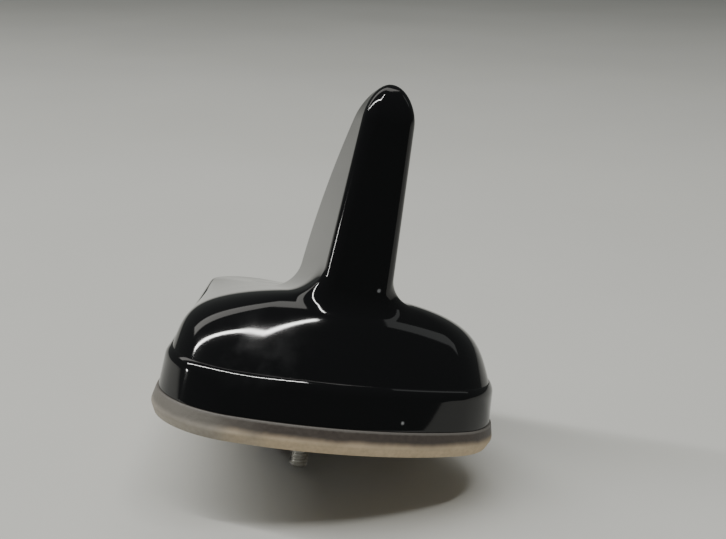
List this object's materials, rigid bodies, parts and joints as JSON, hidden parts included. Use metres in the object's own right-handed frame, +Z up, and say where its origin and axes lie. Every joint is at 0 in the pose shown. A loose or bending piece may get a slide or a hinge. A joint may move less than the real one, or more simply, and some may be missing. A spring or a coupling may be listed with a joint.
{
  "type": "car roof antenna",
  "caption": "Fin-shaped car roof antenna: gloss cover with a raised fin on a rubber gasket, with a threaded stud and coaxial sockets below.",
  "frame": {"origin": "on the roof's outer face, at the middle of the antenna's length and width; the gasket's underside lies in z = 0", "axes": "+X towards the front of the car, +Y to the car's left, +Z up, away from the roof"},
  "size_m": [0.1078, 0.0698, 0.0824],
  "materials": {
    "gloss_cover": "smooth gloss black moulding with light dust",
    "gasket_rubber": "matt dark grey rubber, dusty tan on its lower edge",
    "stud_steel": "zinc plated steel",
    "cast_plate": "die-cast, bead-blasted",
    "seal_rubber": "matt black cord",
    "foam": "closed-cell foam",
    "spring_steel": "rolled spring steel",
    "board": "green solder mask on glass-fibre board",
    "tin": "tinned sheet",
    "tile": "fired ceramic with silver face",
    "adhesive": "white adhesive foam",
    "pin_brass": "gold plated brass",
    "aerial_board": "green solder mask with copper tracks",
    "carrier": "natural moulded plastic",
    "spring_bronze": "phosphor bronze",
    "screw_steel": "zinc plated steel",
    "blue_plastic": "blue coded moulding",
    "claret_plastic": "claret coded moulding",
    "shield_metal": "nickel plated brass",
    "insulator": "white fluoropolymer"
  },
  "bodies": {
    "root": {"radome": "gloss_cover", "roof_gasket": "gasket_rubber", "mounting_stud": "stud_steel", "base_plate": "cast_plate", "cover_seal": "seal_rubber", "boss_seal": "foam", "claw_clip": "spring_steel", "circuit_board": "board", "shield_can": "tin", "patch_antenna": "tile", "patch_pad": "adhesive", "patch_pin": "pin_brass", "fin_board": "aerial_board", "fin_carrier": "carrier", "feed_spring": "spring_bronze", "board_screws": "screw_steel", "cover_screws": "screw_steel", "navigation_socket": "blue_plastic", "telephone_socket": "claret_plastic", "navigation_shield": "shield_metal", "telephone_shield": "shield_metal", "navigation_insulator": "insulator", "telephone_insulator": "insulator", "navigation_pin": "pin_brass", "telephone_pin": "pin_brass"}
  },
  "joints": []
}
